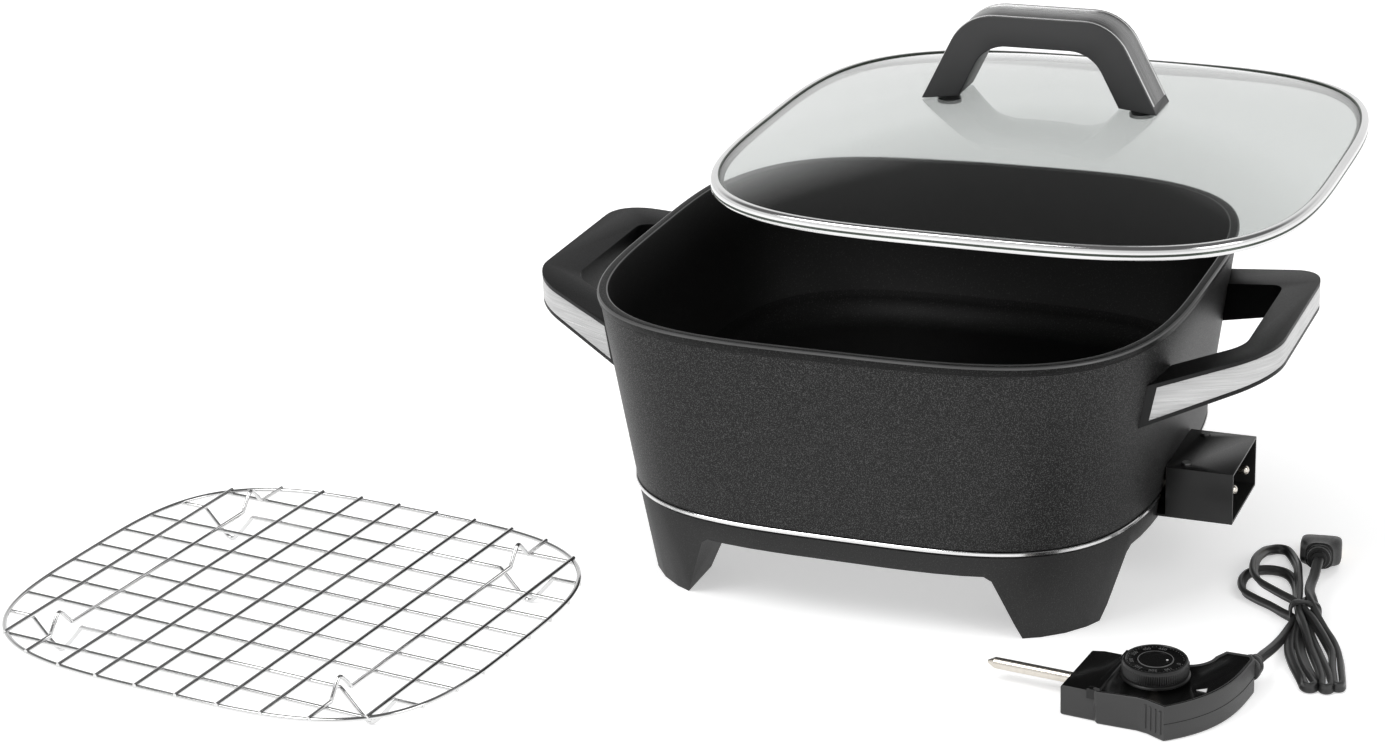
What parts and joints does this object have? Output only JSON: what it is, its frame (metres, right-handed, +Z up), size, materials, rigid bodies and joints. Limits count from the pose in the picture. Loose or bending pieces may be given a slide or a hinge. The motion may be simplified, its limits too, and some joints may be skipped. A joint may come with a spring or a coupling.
{
  "type": "electric skillet",
  "caption": "Deep square electric skillet on four legs, with a lift-off glass lid, two side handles, a wire rack and a plug-in probe thermostat with a dial and a tied cord.",
  "frame": {"origin": "middle of the square pan at the height of the table that the four legs stand on", "axes": "+X to the end with the control's socket, +Z up, the front faces -Y"},
  "size_m": [0.6421, 0.483, 0.2813],
  "materials": {
    "cast_coating": "dark charcoal non-stick coating with a fine fleck, satin",
    "black_phenolic": "matt black",
    "trim_steel": "bright",
    "brushed_band": "brushed",
    "dark_brushed": "dark brushed",
    "polished_rim": "polished",
    "lid_glass": "clear",
    "handle_grey": "dark grey satin",
    "socket_black": "satin black",
    "zinc_steel": "zinc plated",
    "heater_sheath": "dull",
    "insulator": "matt",
    "rack_chrome": "bright plated wire",
    "control_black": "glossy black",
    "probe_steel": "satin",
    "contact_brass": "plain",
    "block_brown": "plain",
    "ceramic_rod": "plain",
    "cap_dark": "glossy",
    "cord_black": "matt",
    "silicone": "black"
  },
  "bodies": {
    "skillet": {"pan": "cast_coating", "probe_boss": "cast_coating", "trim_ring": "trim_steel", "base_skirt": "black_phenolic", "base_screws": "zinc_steel", "heat_shield": "zinc_steel", "shield_screws": "zinc_steel", "heating_element": "heater_sheath", "element_clips": "zinc_steel", "terminal_pins": "probe_steel", "terminal_insulator": "insulator", "socket_housing": "socket_black", "socket_rivets": "zinc_steel", "socket_screws": "zinc_steel", "handle_left": "black_phenolic", "handle_right": "black_phenolic", "handle_band_left": "brushed_band", "handle_band_right": "brushed_band", "handle_screws": "zinc_steel"},
    "lid": {"lid_glass": "lid_glass", "lid_rim_band": "polished_rim", "lid_handle": "handle_grey", "lid_handle_inlay": "dark_brushed", "lid_screws": "zinc_steel", "lid_washers": "silicone"},
    "rack": {"rack_ring": "rack_chrome", "rack_long_wires": "rack_chrome", "rack_cross_wires": "rack_chrome", "rack_foot_wires": "rack_chrome", "rack_riser_wires": "rack_chrome"},
    "control": {"control_top": "control_black", "control_bottom": "control_black", "control_screws": "zinc_steel", "probe_sheath": "probe_steel", "probe_rod": "ceramic_rod", "contact_sleeves": "contact_brass", "contact_block": "block_brown", "contact_blades": "contact_brass", "cord_grommet": "cord_black", "cord_lead": "cord_black", "cord_hank_upper": "cord_black", "cord_hank_lower": "cord_black", "cord_tie": "cord_black", "cord_tail": "cord_black", "plug_body": "cord_black", "plug_blades": "contact_brass"},
    "dial": {"dial": "control_black", "dial_cap": "cap_dark", "adjusting_shaft": "probe_steel"}
  },
  "joints": [
    {"name": "lid_lift", "type": "slide", "parent": "skillet", "child": "lid", "axis": [0.7387, 0, 0.6741], "range_m": [-0.08664, 0.06]},
    {"name": "rack_lift", "type": "slide", "parent": "skillet", "child": "rack", "axis": [0, 0, 1], "range_m": [0, 0.2]},
    {"name": "control_lift", "type": "slide", "parent": "skillet", "child": "control", "axis": [0, 0, 1], "range_m": [0, 0.1]},
    {"name": "dial_turn", "type": "hinge", "parent": "control", "child": "dial", "pos_m": [0.16815, -0.17265, 0.02], "axis": [0, 0, 1], "range_deg": [-290, 0]}
  ]
}
